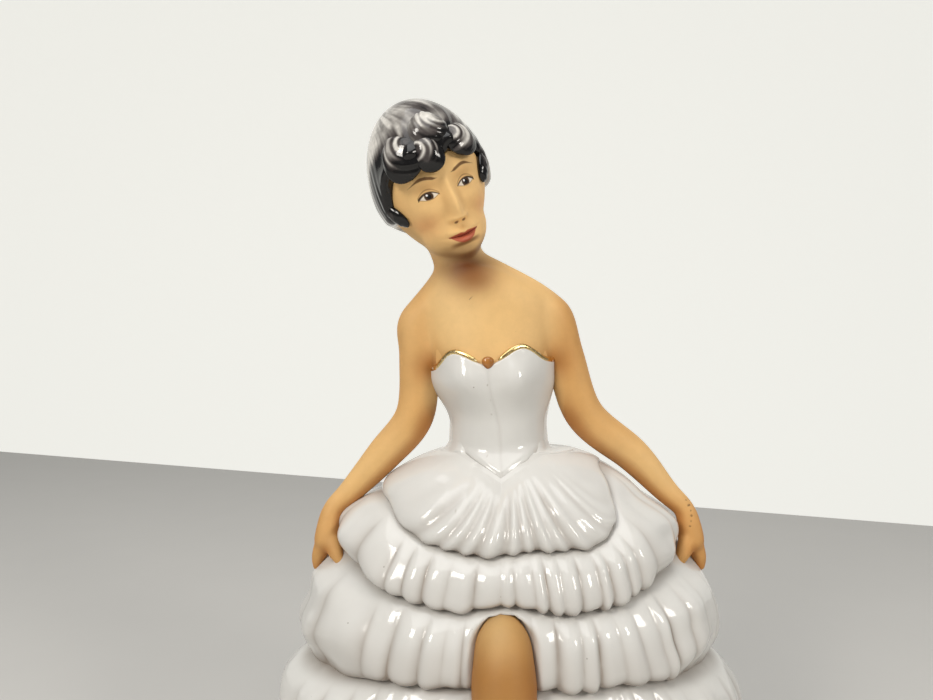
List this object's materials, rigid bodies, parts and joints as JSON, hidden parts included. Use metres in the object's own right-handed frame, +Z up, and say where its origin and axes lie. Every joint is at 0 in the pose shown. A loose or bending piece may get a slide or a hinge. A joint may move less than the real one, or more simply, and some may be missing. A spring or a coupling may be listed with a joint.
{
  "type": "porcelain figurine",
  "caption": "Standing porcelain dancer with a tilted head, strapless gilt-edged bodice and arms that hold up a hollow skirt of pleated flounces, one leg stepping through the front.",
  "frame": {"origin": "middle of the footprint, on the shelf's surface", "axes": "+Z up; the figure looks along -Y; +X is to the right of someone who looks at its face"},
  "size_m": [0.1262, 0.1004, 0.1999],
  "materials": {
    "bisque_skin": "matt painted bisque, airbrushed",
    "white_glaze": "clear gloss glaze over white porcelain",
    "hair_glaze": "grey and black brushed underglaze, gloss",
    "gilt": "worn bright gold lustre",
    "amber_lustre": "amber lustre over glaze"
  },
  "bodies": {
    "root": {"torso": "bisque_skin", "arm_left": "bisque_skin", "arm_right": "bisque_skin", "head": "bisque_skin", "leg": "bisque_skin", "skirt_shell": "white_glaze", "flounce_1": "white_glaze", "flounce_2": "white_glaze", "flounce_3": "white_glaze", "flounce_4": "white_glaze", "flounce_5": "white_glaze", "flounce_6": "white_glaze", "bodice": "white_glaze", "shoe": "white_glaze", "hair_cap": "hair_glaze", "curl_1": "hair_glaze", "curl_2": "hair_glaze", "curl_3": "hair_glaze", "curl_4": "hair_glaze", "curl_5": "hair_glaze", "curl_6": "hair_glaze", "neckline_band": "gilt", "neckline_bead": "amber_lustre"}
  },
  "joints": []
}
